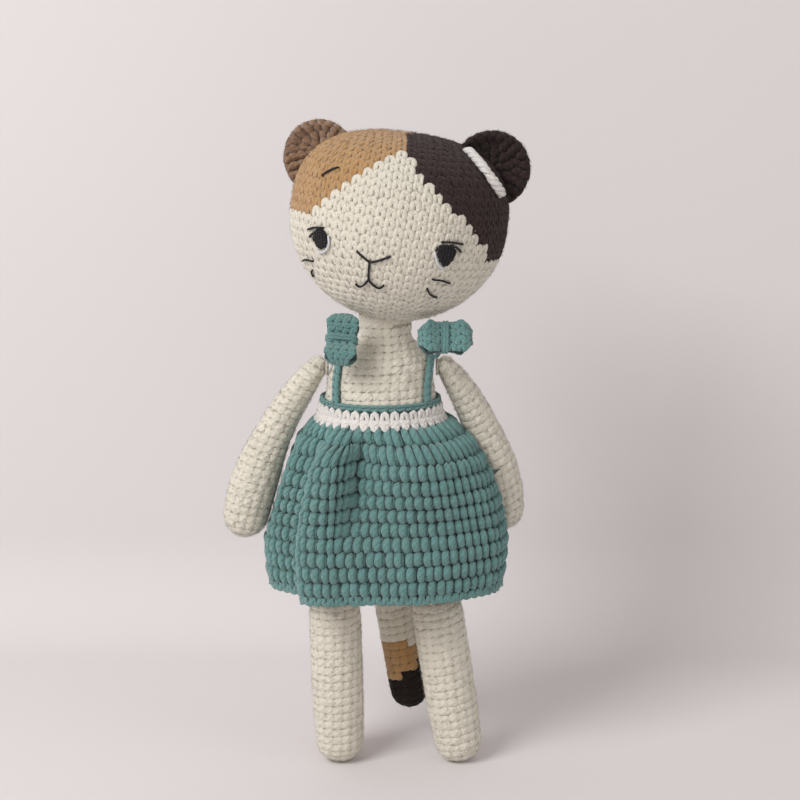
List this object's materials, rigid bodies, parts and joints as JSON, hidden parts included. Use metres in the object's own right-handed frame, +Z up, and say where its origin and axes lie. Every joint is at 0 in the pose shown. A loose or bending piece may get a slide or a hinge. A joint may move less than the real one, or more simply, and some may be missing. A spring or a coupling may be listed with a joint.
{
  "type": "crochet cat doll",
  "caption": "Crocheted soft toy cat with a large tilted head, hanging arms, straight legs and tail, in a gathered sleeveless dress with two bows.",
  "frame": {"origin": "middle of the toy's outline on the floor that it stands on", "axes": "+Z up, the face looks along -Y, the toy's own left hand is on the +X side"},
  "size_m": [0.151, 0.1056, 0.3256],
  "materials": {
    "ivory_yarn": "matt crocheted yarn",
    "ochre_yarn": "matt crocheted yarn",
    "brown_yarn": "matt crocheted yarn",
    "dark_yarn": "matt crocheted yarn",
    "teal_yarn": "matt crocheted yarn",
    "white_yarn": "matt yarn",
    "black_thread": "matt embroidery thread",
    "stuffing": "loose fibre filling"
  },
  "bodies": {
    "body": {"body_cover": "ivory_yarn", "body_stuffing": "stuffing", "hip_seam_right": "ivory_yarn", "hip_seam_left": "ivory_yarn", "tail_seam": "ivory_yarn", "dress_skirt": "teal_yarn", "dress_band": "white_yarn", "dress_edge": "teal_yarn", "strap_right": "teal_yarn", "bow_right": "teal_yarn", "bow_knot_right": "teal_yarn", "strap_left": "teal_yarn", "bow_left": "teal_yarn", "bow_knot_left": "teal_yarn"},
    "neck": {"neck_seam": "ivory_yarn"},
    "head": {"head_cover": "ivory_yarn", "head_stuffing": "stuffing", "ear_right": "brown_yarn", "ear_left": "dark_yarn", "ear_bar": "white_yarn", "eye_right": "black_thread", "eye_white_right": "white_yarn", "eye_left": "black_thread", "eye_white_left": "white_yarn", "nose_mouth": "black_thread", "whisker_right_upper": "black_thread", "whisker_right_lower": "black_thread", "whisker_left_upper": "black_thread", "whisker_left_lower": "black_thread", "brow_right": "black_thread"},
    "shoulder_right": {"shoulder_seam_right": "ivory_yarn"},
    "arm_right": {"arm_cover_right": "ivory_yarn", "arm_stuffing_right": "stuffing"},
    "shoulder_left": {"shoulder_seam_left": "ivory_yarn"},
    "arm_left": {"arm_cover_left": "ivory_yarn", "arm_stuffing_left": "stuffing"},
    "leg_right": {"leg_cover_right": "ivory_yarn", "leg_stuffing_right": "stuffing"},
    "leg_left": {"leg_cover_left": "ivory_yarn", "leg_stuffing_left": "stuffing"},
    "tail": {"tail_cover": "ochre_yarn", "tail_stuffing": "stuffing"}
  },
  "joints": [
    {"name": "neck_tilt", "type": "hinge", "parent": "body", "child": "neck", "pos_m": [0.00543, 0, 0.2295], "axis": [0, 1, 0], "range_deg": [-12, 4], "stiffness_Nm_per_rad": 0.35},
    {"name": "head_turn", "type": "hinge", "parent": "neck", "child": "head", "pos_m": [0.00543, 0, 0.2295], "axis": [0.1305, 0, 0.9914], "range_deg": [-25, 45], "stiffness_Nm_per_rad": 0.15},
    {"name": "arm_swing_right", "type": "hinge", "parent": "body", "child": "shoulder_right", "pos_m": [-0.02802, 0, 0.206], "axis": [-1, 0, 0], "range_deg": [-15, 45]},
    {"name": "arm_raise_right", "type": "hinge", "parent": "shoulder_right", "child": "arm_right", "pos_m": [-0.02802, 0, 0.206], "axis": [0, 1, 0], "range_deg": [0, 95]},
    {"name": "arm_swing_left", "type": "hinge", "parent": "body", "child": "shoulder_left", "pos_m": [0.03518, 0, 0.206], "axis": [-1, 0, 0], "range_deg": [-40, 0]},
    {"name": "arm_raise_left", "type": "hinge", "parent": "shoulder_left", "child": "arm_left", "pos_m": [0.03518, 0, 0.206], "axis": [0, -1, 0], "range_deg": [0, 95]},
    {"name": "hip_swing_right", "type": "hinge", "parent": "body", "child": "leg_right", "pos_m": [-0.02057, 0, 0.079], "axis": [-1, 0, 0], "range_deg": [-30, 85], "stiffness_Nm_per_rad": 0.1},
    {"name": "hip_swing_left", "type": "hinge", "parent": "body", "child": "leg_left", "pos_m": [0.03143, 0, 0.079], "axis": [-1, 0, 0], "range_deg": [-30, 85], "stiffness_Nm_per_rad": 0.1},
    {"name": "tail_lift", "type": "hinge", "parent": "body", "child": "tail", "pos_m": [0.00843, 0.027, 0.0826], "axis": [1, 0, 0], "range_deg": [0, 70]}
  ]
}
